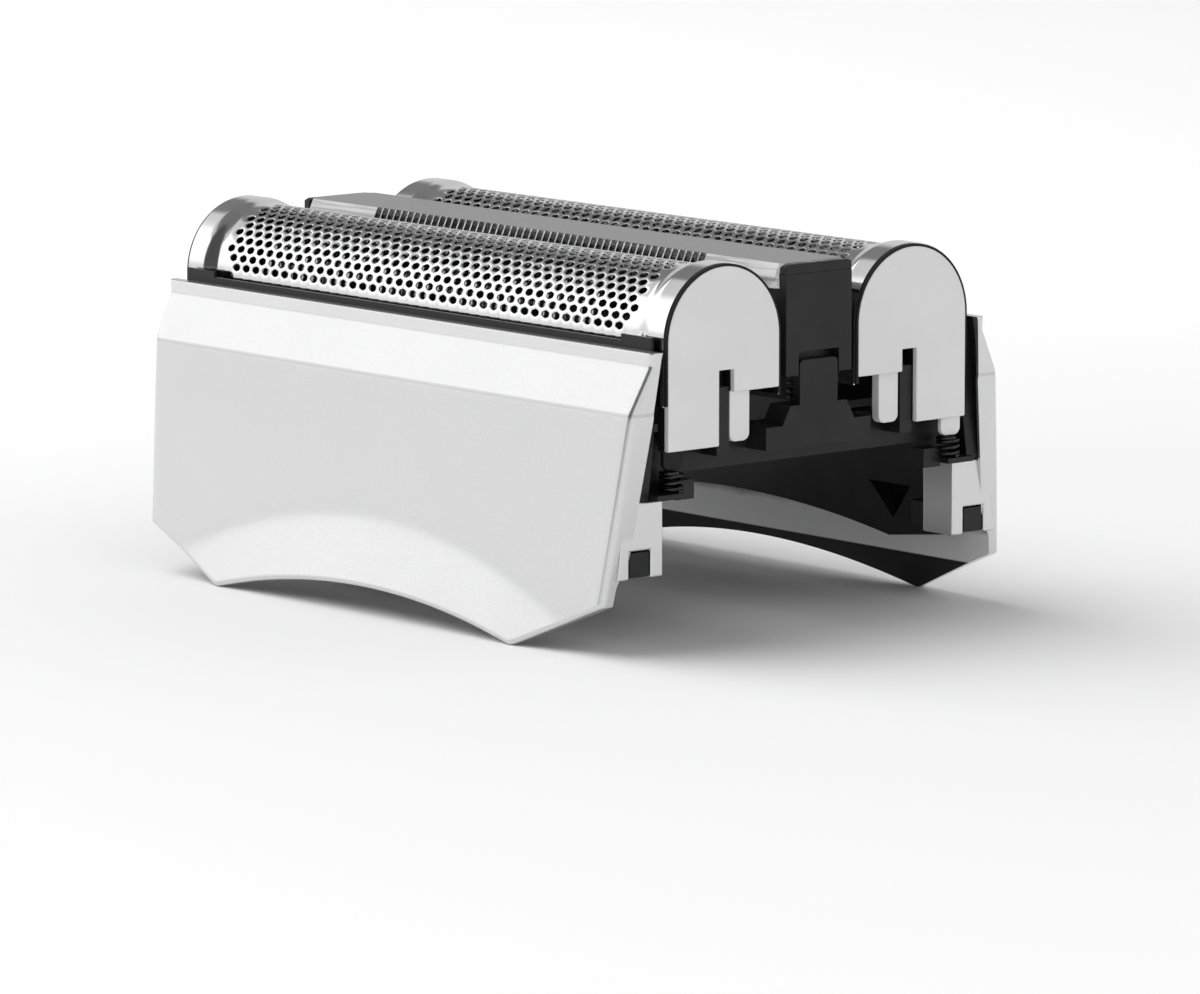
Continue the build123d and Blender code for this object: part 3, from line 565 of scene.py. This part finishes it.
# Foils. Two etched nickel-steel sheets a tenth of a millimetre thick, bent into arches over the cutters:
# a honeycomb of small holes over the crown and sides, plain margins, and ends that flare out over the caps.
def foil_sheet(middle_y, middle_z, end_x, skirt_z):
    """Perforated sheet over length x and arc length s, welded from quads, then wrapped round the arch.

    Each hole sits in a honeycomb cell: rows along x, shifted by half a pitch from row to row. A ring of
    twelve quads runs from the cell edge to the hole, whose edge lies a little deeper, so the webs between
    the holes are rounded, as electroformed ones are. The margins are grids from the zigzag border of the
    field to the ends and to the lower edges. The wrap bends s round the arch radius, which widens like a
    trumpet at both ends, and runs straight down below the arch."""
    radius, flare, flare_start, flare_run, sheet = 4.05, 0.31, 19.1, 1.35, 0.1
    pitch, row_step, rows, half_count = 0.92, 0.565, 10, 20
    hole_share, straight_part, round_part, web_round = 0.69, 0.45, 0.55, 0.03
    corner_blank, margin = 0.8, 0.12
    tip = row_step / 6
    side_s = row_step / 2 - tip

    row = np.arange(-rows, rows + 1)
    even = (row + rows) % 2 == 0
    column = np.arange(-half_count, half_count + 1)
    cell_x = (column[None, :] - 0.5 * (~even)[:, None]) * pitch
    cell_s = np.broadcast_to(row[:, None] * row_step, cell_x.shape)
    keep = np.ones_like(cell_x, bool)
    keep[~even, 0] = False
    cells = np.stack([cell_x[keep], cell_s[keep]], -1)
    corners = np.array([
        [pitch / 2, -side_s], [pitch / 2, side_s], [0, row_step / 2 + tip],
        [-pitch / 2, side_s], [-pitch / 2, -side_s], [0, -row_step / 2 - tip],
    ])
    edge_loop = np.stack([corners, (corners + np.roll(corners, -1, 0)) / 2], 1).reshape(-1, 2)
    round_x, round_s = pitch / 2, row_step / 2 + tip * 0.6
    round_loop = edge_loop / np.hypot(edge_loop[:, :1] / round_x, edge_loop[:, 1:] / round_s)
    hole_loop = hole_share * (straight_part * edge_loop + round_part * round_loop)
    outer = cells[:, None] + edge_loop[None]
    inner = cells[:, None] + hole_loop[None]
    ring = np.stack([outer, np.roll(outer, -1, 1), np.roll(inner, -1, 1), inner], 2)
    blank_x = np.clip(np.abs(cells[:, 0]) - (half_count * pitch - corner_blank), 0, None)
    blank_s = np.clip(np.abs(cells[:, 1]) - (rows * row_step - corner_blank), 0, None)
    blank = np.hypot(blank_x, blank_s) > corner_blank * 1.02

    field_x = (half_count + 0.5) * pitch
    field_s = rows * row_step + side_s
    straight = np.linspace(field_x + margin, end_x, 28)
    step_s = np.stack([-side_s + 0 * row, 0 * row, side_s + 0 * row], -1) + (row * row_step)[:, None]
    step_x = np.where(even, field_x, field_x - pitch / 2)[:, None] + np.zeros(3)
    border = np.stack([step_x, step_s], -1)
    between = (border[:-1, 2] + border[1:, 0]) / 2
    zigzag = np.concatenate([
        np.concatenate([border[:-1], between[:, None]], 1).reshape(-1, 2), border[-1]
    ])
    end_run = np.concatenate([zigzag[None, :, 0], straight[:, None] + 0 * zigzag[None, :, 0]])
    end_grid = np.stack([end_run, np.broadcast_to(zigzag[None, :, 1], end_run.shape)], -1)

    top_x = (np.arange(-4 * half_count - 2, 4 * half_count + 3)) * pitch / 4
    phase = np.abs(((top_x / pitch + 0.5) % 1) - 0.5) * 2
    top_s = rows * row_step + side_s + (1 - phase) * 2 * tip
    top_x = np.concatenate([-straight[::-1], top_x, straight])
    top_s = np.concatenate([np.full(straight.size, field_s), top_s, np.full(straight.size, field_s)])
    down = np.linspace(0, 1, 9)[:, None]
    skirt_s = radius * np.pi / 2 + middle_z - skirt_z
    side_s_grid = top_s[None, :] + (skirt_s - top_s[None, :]) * down
    side_grid = np.stack([np.broadcast_to(top_x[None, :], side_s_grid.shape), side_s_grid], -1)

    def quads(grid):
        """The quads of a grid of (x, s) points, as their corner points."""
        return np.stack([grid[:-1, :-1], grid[:-1, 1:], grid[1:, 1:], grid[1:, :-1]], 2).reshape(-1, 4, 2)

    flip = np.array([-1, 1])
    soup = np.concatenate([
        ring.reshape(-1, 4, 2),
        quads(end_grid)[:, ::-1], quads(end_grid) * flip,
        quads(side_grid), (quads(side_grid) * -flip)[:, ::-1],
    ])
    flat, index = np.unique(np.round(soup.reshape(-1, 2), 4), axis=0, return_inverse=True)
    index = index.reshape(-1, 4)
    hole = index[: ring.shape[0] * 12].reshape(-1, 12, 4)[:, :, 3]
    quad_x, quad_s = flat[index][:, :, 0], flat[index][:, :, 1]
    area = np.sum(quad_x * np.roll(quad_s, -1, 1) - np.roll(quad_x, -1, 1) * quad_s, 1)
    index = np.where((area < 0)[:, None], index[:, ::-1], index)
    count = flat.shape[0]
    is_hole = np.zeros(count, bool)
    is_hole[hole.ravel()] = True

    def wrap(depth):
        """The flat points bent round the arch, at a depth below the outer face."""
        widen = np.clip((np.abs(flat[:, 0]) - flare_start) / flare_run, 0, 1)
        reach = radius + flare * widen**2 * (3 - 2 * widen) - depth
        angle = np.clip(flat[:, 1] / radius, -np.pi / 2, np.pi / 2)
        drop = np.clip(np.abs(flat[:, 1]) - radius * np.pi / 2, 0, None)
        y, z = middle_y - reach * np.sin(angle), middle_z + reach * np.cos(angle) - drop
        return np.stack([flat[:, 0], y, z], -1)

    open_holes = hole[~blank]
    walls = np.stack([
        open_holes, open_holes + count, np.roll(open_holes, -1, 1) + count, np.roll(open_holes, -1, 1)
    ], -1).reshape(-1, 4)
    edges = np.sort(np.stack([index, np.roll(index, -1, 1)], -1).reshape(-1, 2), 1)
    lone, uses = np.unique(edges, axis=0, return_counts=True)
    lone = lone[uses == 1]
    rim = lone[~(is_hole[lone[:, 0]] & is_hole[lone[:, 1]])]
    rims = np.stack([rim[:, 0], rim[:, 1], rim[:, 1] + count, rim[:, 0] + count], -1)
    plugs = hole[blank]
    faces = (
        index.tolist() + (index[:, ::-1] + count).tolist() + walls.tolist() + rims.tolist()
        + plugs.tolist() + (plugs[:, ::-1] + count).tolist()
    )
    pierced = np.zeros(count)
    pierced[open_holes.ravel()] = web_round
    return np.concatenate([wrap(pierced), wrap(sheet)]), faces


def foil_finish():
    """Bright etched nickel: mirror-like, with a faint drift in tone and gloss from the rolling."""
    finish, tree, shader = new_finish("foil_nickel", Metallic=1.0)
    height, flow = grain_node(tree, fine=7000.0, broad=220.0)
    tree.links.new(
        ramp_between(tree, flow, (0.74, 0.74, 0.745), (0.82, 0.82, 0.822)), shader.inputs["Base Color"]
    )
    tree.links.new(ramp_between(tree, height, 0.1, 0.17), shader.inputs["Roughness"])
    return finish


nickel = foil_finish()
foil_axis_drop, foil_end_room = 4.36, 0.25
for node in ("front_foil", "rear_foil"):
    low, high = (np.array(corner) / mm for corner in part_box(node))
    sheet = outward(put_mesh(f"{node}_sheet", *foil_sheet(
        (low[1] + high[1]) / 2, high[2] - foil_axis_drop, high[0] - foil_end_room, low[2]
    )), sharp=40)
    sheet.data.materials.append(nickel)
    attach(sheet, node)
    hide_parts(node)


# End caps. Grey moulded plates that close the ends of the foils: an arch that fills the sheet, a long
# outer leg on the spring peg, a slot that runs on the chassis guide, and a tongue set back behind the face.
cap_axis_y, cap_axis_z, cap_radius = 7.2, 17.54, 4.16


def cap_outline(out):
    """Outline seen from the end, y measured outwards from the arch axis: half circle, long leg, slot,
    short leg."""
    slot_inner, slot_outer, slot_top, short_foot, long_foot = -0.75, 0.35, 15.8, 14.5, 11.5
    turn = np.linspace(0, np.pi, 49)
    arch = np.stack([cap_radius * np.cos(turn), cap_axis_z + cap_radius * np.sin(turn)], -1)
    legs = np.array([
        [-cap_radius, short_foot], [slot_inner, short_foot], [slot_inner, slot_top],
        [slot_outer, slot_top], [slot_outer, long_foot], [cap_radius, long_foot],
    ])
    return np.concatenate([arch, legs]) * [out, 1]


def finger(left, right, top, foot, corner):
    """A straight finger hanging from top to foot, its two lower corners quarter circles of one radius."""
    turn = np.linspace(0, np.pi / 2, 7)
    across, lift = corner * (1 - np.cos(turn)), foot + corner * (1 - np.sin(turn))
    first = np.stack([left + across, lift], -1)
    second = np.stack([right - across[::-1], lift[::-1]], -1)
    return np.concatenate([[[left, top]], first, second, [[right, top]]])


def arch_band(inner, outer, foot_z, middle_z, start, stop):
    """A flat band between two radii, carried up one side, round the arch and down the other, closed at
    both feet."""
    turn = np.linspace(0, np.pi, 65)
    lift = np.concatenate([[foot_z - middle_z], 0 * turn, [foot_z - middle_z]])
    across = np.concatenate([[1.0], np.cos(turn), [-1.0]])
    over = np.concatenate([[0.0], np.sin(turn), [0.0]])
    reach = np.array([inner, outer, outer, inner])
    x = np.array([start, start, stop, stop])[None, :] + 0 * across[:, None]
    y = across[:, None] * reach[None, :]
    z = middle_z + lift[:, None] + over[:, None] * reach[None, :]
    last = across.size * 4 - 4
    ends = np.array([[3, 2, 1, 0], [last, last + 1, last + 2, last + 3]])
    return np.stack([x, y, z], -1).reshape(-1, 3), np.concatenate([tube_faces(across.size, 4), ends])


cap_grey = moulded_plastic(
    "cap_grey", (0.76, 0.76, 0.764), (0.81, 0.81, 0.812), 0.42, 0.5, skin=0.002, fine=14000.0, broad=240.0,
    Specular_IOR_Level=0.4,
)
# Near black for the ring round each cap plate and for the cap backs: painted shade, standing in for the dark
# gap between plate and foil.
shade_black = moulded_plastic(
    "shade_black", (0.006, 0.006, 0.006), (0.012, 0.012, 0.012), 0.42, 0.55, skin=0.004,
    Specular_IOR_Level=0.2,
)
finger_round, back_narrow, back_lift = 0.45, 0.985, 0.02
gap_ring_inner, gap_ring_outer, gap_ring_foot, gap_ring_behind, gap_ring_before = 4.1, 4.3, 14.1, 0.42, 0.06
tongue_outline = finger(-2.25, -0.75, 14.6, 11.6, finger_round)
peg_outline = finger(2.66, 4.16, 11.7, 10.4, finger_round)
for name, out in (("front", -1), ("rear", 1)):
    # The front pegs take the near black instead of the cap grey of the rear ones: painted shade under the
    # front cover.
    peg_finish, peg_slot = (shade_black, "carrier_black") if name == "front" else (cap_grey, "cap_grey")
    for hand, way in (("left", -1), ("right", 1)):
        node = f"{name}_cap_{hand}"
        low, high = (np.array(corner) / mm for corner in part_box(node))
        face_x = high[0] if way > 0 else low[0]
        axis = np.array([cap_axis_y * out, 0])
        back_outline = cap_outline(out) * [back_narrow, 1] + [0, back_lift]
        for part, outline, behind, before, finish, slot, edge in (
            ("plate", cap_outline(out), 0.4, 0.0, cap_grey, "cap_grey", 0.09),
            ("back", back_outline, 1.0, 0.38, shade_black, "carrier_black", None),
            ("tongue", tongue_outline * [out, 1], 1.0, 0.39, cap_grey, "cap_grey", 0.06),
            ("peg", peg_outline * [out, 1], 0.73, 0.41, peg_finish, peg_slot, 0.06),
        ):
            piece = outward(put_mesh(f"{node}_{part}", *prism_x(
                outline + axis, face_x - way * behind, face_x - way * before
            )), sharp=30)
            if edge is not None:
                soften(piece, edge)
            piece.data.materials.append(finish)
            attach(piece, f"{name}_foil")
            if part == "plate":
                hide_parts(node)
        # A black ring round the plate, just behind its face: painted shade of the gap between cap and foil.
        gap_ring_points, gap_ring_faces = arch_band(
            gap_ring_inner, gap_ring_outer, gap_ring_foot, cap_axis_z,
            face_x - way * gap_ring_behind, face_x - way * gap_ring_before,
        )
        gap_ring = outward(put_mesh(f"{node}_seal", gap_ring_points + [0, cap_axis_y * out, 0], gap_ring_faces), sharp=40)
        gap_ring.data.materials.append(shade_black)
        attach(gap_ring, f"{name}_foil")


# Trimmer. The long-hair trimmer between the foils: a black carrier floats on two springs, a toothed
# blade slides in it, and a slotted steel comb with bright bevelled ends is clipped over the top.
dress("trimmer_carrier", black_plastic)
# The blade's steel is near black: painted shade for the slots of the comb that it shows through.
trimmer_blade_shade_steel = drawn_steel(
    "trimmer_blade_shade_steel", (0.05, 0.05, 0.052), (0.11, 0.11, 0.112), 0.25, 0.35
)
dress("trimmer_blade", trimmer_blade_shade_steel)
comb_steel = drawn_steel(
    "comb_steel", (0.3, 0.3, 0.304), (0.56, 0.56, 0.565), 0.16, 0.3, scale=4000.0, low=0.4, high=0.62
)


def comb_half(end_x, plain, tooth, pitch, slot_depth, top_z, low_z):
    """One long edge of the comb over length x: five stations across, from the middle to the foot of the
    skirt.

    Between the plain ends the edge is cut into teeth: the stations of the slots are drawn back to the slot
    floor, so each tooth is a small bevelled bar and each slot a straight-sided gap."""
    end_run, end_inset, shoulder, wall_step = 0.55, 0.75, 0.55, 0.001
    across = np.array([0.0, 2.4, 2.66, 2.75, 2.45])
    height = np.array([top_z, top_z, top_z - shoulder, low_z, low_z])
    count = int(2 * plain / pitch)
    start = (np.arange(count + 1) - count / 2) * pitch
    wall = np.array([-tooth / 2, -tooth / 2 + wall_step, tooth / 2 - wall_step, tooth / 2])
    cuts = (start[:, None] + wall[None, :]).ravel()
    x = np.concatenate([[-end_x, -end_x + end_run], cuts, [end_x - end_run, end_x]])
    slotted = np.concatenate([[False, False], np.tile([True, False, False, True], count + 1), [False, False]])
    slotted[[2, -3]] = False
    inset = np.zeros(x.size)
    inset[[0, -1]] = end_inset
    y = across[None, :] - inset[:, None] * (across[None, :] > 0)
    y = np.where(slotted[:, None] & (across[None, :] > 0), across.max() - slot_depth, y)
    z = np.broadcast_to(height[None, :], y.shape)
    points = np.stack([np.broadcast_to(x[:, None], y.shape), y, z], -1).reshape(-1, 3)
    return points, grid_faces(x.size, across.size)


comb_low, comb_high = (np.array(corner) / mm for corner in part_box("trimmer_comb"))
comb_top, comb_end = comb_high[2], comb_high[0]
half_points, half_faces = comb_half(
    comb_end - 0.2, plain=15.2, tooth=0.1, pitch=0.6, slot_depth=0.45, top_z=comb_top, low_z=comb_low[2] + 0.6
)
comb_points = np.concatenate([half_points, half_points * [1, -1, 1]])
comb_faces = np.concatenate([half_faces, half_faces[:, ::-1] + len(half_points)])
comb = outward(put_mesh("trimmer_comb_plate", comb_points, comb_faces), sharp=25)
comb_sheet = comb.modifiers.new("sheet", "SOLIDIFY")
comb_sheet.thickness, comb_sheet.offset = 0.04 * mm, -1.0
comb.data.materials.append(comb_steel)
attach(comb, "trimmer")
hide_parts("trimmer_comb")
clip_half, clip_depth, clip_base, clip_top = 2.5, 0.5, comb_low[2] + 1.4, comb_top - 0.03
shoulder_half, shoulder_z = 2.2, clip_top - 0.12
end_outline = np.array([
    [-clip_half, clip_base], [clip_half, clip_base], [clip_half, shoulder_z],
    [shoulder_half, clip_top], [-shoulder_half, clip_top], [-clip_half, shoulder_z],
])
for hand, way in (("left", -1), ("right", 1)):
    end_clip = outward(put_mesh(f"trimmer_end_{hand}", *prism_x(
        end_outline, way * (comb_end - clip_depth), way * comb_end
    )), sharp=30)
    soften(end_clip, 0.04)
    end_clip.data.materials.append(black_plastic)
    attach(end_clip, "trimmer")


# Floor. A plain white sheet swept out of sight; it takes the soft shadow of the head, and away from the
# head it glows faintly to the lens and in mirror images, so that it runs out into white.
def floor_sheet():
    """A flat square grid, a metre and a half to each side of the head."""
    run = np.linspace(-1.5, 1.5, 7)
    x, y = np.meshgrid(run, run)
    return np.stack([x, y, 0 * x], -1).reshape(-1, 3) / mm, grid_faces(run.size, run.size)


white_floor, floor_tree, floor_shader = new_finish("white_floor", Roughness=0.9, Specular_IOR_Level=0.1)
_, floor_flow = grain_node(floor_tree, fine=900.0, broad=3.0)
floor_tree.links.new(
    ramp_between(floor_tree, floor_flow, (0.90, 0.90, 0.90), (0.92, 0.92, 0.92)),
    floor_shader.inputs["Base Color"],
)
ray = floor_tree.nodes.new("ShaderNodeLightPath")
mirrored = combine(floor_tree, "MAXIMUM", ray.outputs["Is Glossy Ray"], ray.outputs["Is Transmission Ray"])
seen = combine(floor_tree, "MAXIMUM", ray.outputs["Is Camera Ray"], mirrored)
floor_place = floor_tree.nodes.new("ShaderNodeTexCoord")
away = floor_tree.nodes.new("ShaderNodeVectorMath")
away.operation = "LENGTH"
floor_tree.links.new(floor_place.outputs["Object"], away.inputs[0])
glow_level = ramp_between(floor_tree, away.outputs["Value"], 0.0, 0.12, low=0.03, high=0.15)
glow = floor_tree.nodes.new("ShaderNodeEmission")
floor_tree.links.new(combine(floor_tree, "MULTIPLY", seen, glow_level), glow.inputs["Strength"])
both = floor_tree.nodes.new("ShaderNodeAddShader")
floor_tree.links.new(floor_shader.outputs[0], both.inputs[0])
floor_tree.links.new(glow.outputs[0], both.inputs[1])
floor_tree.links.new(both.outputs[0], floor_tree.nodes["Material Output"].inputs["Surface"])
floor = put_mesh("floor", *floor_sheet())
floor.data.materials.append(white_floor)
floor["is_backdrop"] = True


# Light. A high-key table-top set: a bright surround that turns grey overhead, a white card on the left
# that the front cover mirrors, and one large soft lamp high on the left front, so the shadow falls right.
world = bpy.data.worlds.new("white_surround")
scene.world = world
world.use_nodes = True
sky_tree = world.node_tree
background = sky_tree.nodes["Background"]
direction = sky_tree.nodes.new("ShaderNodeTexCoord")
parts = sky_tree.nodes.new("ShaderNodeSeparateXYZ")
sky_tree.links.new(direction.outputs["Generated"], parts.inputs[0])
sideways, upward = parts.outputs["X"], parts.outputs["Z"]


def sky_step(value, low, high, first, second):
    """Smooth step of a value between two levels, for the soft edges in the surround."""
    step = sky_tree.nodes.new("ShaderNodeMapRange")
    step.interpolation_type = "SMOOTHSTEP"
    for socket, number in zip(("From Min", "From Max", "To Min", "To Max"), (low, high, first, second)):
        step.inputs[socket].default_value = number
    sky_tree.links.new(value, step.inputs["Value"])
    return step.outputs["Result"]


flat_way = sky_tree.nodes.new("ShaderNodeVectorMath")
flat_way.operation = "MULTIPLY"
flat_way.inputs[1].default_value = (1, 1, 0)
sky_tree.links.new(direction.outputs["Generated"], flat_way.inputs[0])
unit_way = sky_tree.nodes.new("ShaderNodeVectorMath")
unit_way.operation = "NORMALIZE"
sky_tree.links.new(flat_way.outputs[0], unit_way.inputs[0])


def sky_side(x, y, low, high):
    """How far a direction lies inside a sector of the surround: 1 near the compass direction (x, y), 0 away
    from it."""
    toward = sky_tree.nodes.new("ShaderNodeVectorMath")
    toward.operation = "DOT_PRODUCT"
    toward.inputs[1].default_value = (x, y, 0)
    sky_tree.links.new(unit_way.outputs[0], toward.inputs[0])
    return sky_step(toward.outputs["Value"], low, high, 0.0, 1.0)


def sky_mixed(cover, inside, outside):
    """Two levels of the surround, mixed by how much of the first covers the second."""
    kept = combine(sky_tree, "MULTIPLY", cover, inside)
    bare = combine(sky_tree, "SUBTRACT", 1.0, cover)
    return combine(sky_tree, "ADD", kept, combine(sky_tree, "MULTIPLY", bare, outside))


left_level, right_level, ceiling_level, front_level, strip_level = 0.68, 0.88, 0.2, 0.08, 0.22
card_foot_level, card_top_level = 0.86, 1.42
sky = sky_step(sideways, -0.2, 0.6, left_level, right_level)
ceiling = sky_step(upward, 0.7, 0.8, 0.0, 1.0)
sky = sky_mixed(ceiling, ceiling_level, sky)
dark_front = sky_side(-0.1, -0.995, 0.78, 0.9)
sky = sky_mixed(dark_front, front_level, sky)
strip_rise = sky_step(upward, 0.18, 0.34, 0.0, 1.0)
strip = combine(sky_tree, "MULTIPLY", sky_side(-0.94, 0.342, 0.955, 0.985), strip_rise)
sky = sky_mixed(strip, strip_level, sky)
card_fade = sky_step(upward, 0.54, 0.62, 1.0, 0.0)
card = combine(sky_tree, "MULTIPLY", sky_side(-0.927, -0.375, 0.825, 0.865), card_fade)
sky = sky_mixed(card, sky_step(upward, 0.0, 0.17, card_foot_level, card_top_level), sky)
sky_tree.links.new(sky, background.inputs["Color"])
background.inputs["Strength"].default_value = 1.0

head_middle = Vector((0, 0, 0.011))
lamp = bpy.data.lights.new("left_softbox", "AREA")
lamp.shape = "RECTANGLE"
lamp.size, lamp.size_y = 0.9, 0.7
lamp.energy = 5.0
lamp_object = bpy.data.objects.new("left_softbox", lamp)
scene.collection.objects.link(lamp_object)
lamp_object.visible_glossy = False
lamp_place = head_middle + Vector((-0.30, -0.26, 0.62))
lamp_turn = (head_middle - lamp_place).to_track_quat("-Z", "Y").to_matrix().to_4x4()
lamp_object.matrix_world = Matrix.Translation(lamp_place) @ lamp_turn

# Camera. A long lens a little above the head, off its right front corner, as in the photograph;
# its place and turn are fitted to named corners of the head.
camera = bpy.data.cameras.new("camera")
camera.lens, camera.sensor_width = 240.0, 36.0
camera.clip_end = 10.0
camera_object = bpy.data.objects.new("camera", camera)
scene.collection.objects.link(camera_object)
azimuth = radians(49.462)
toward_camera = Vector((0.7512267, -0.6424704, 0.1512953)).normalized()
right = Vector((np.cos(azimuth), np.sin(azimuth), 0.0))
up = toward_camera.cross(right)
camera_place = Vector((0.35619, -0.30226, 0.07683))
camera_turn = Matrix((right, up, toward_camera)).transposed().to_4x4()
camera_object.matrix_world = Matrix.Translation(camera_place) @ camera_turn
scene.camera = camera_object

low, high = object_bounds()
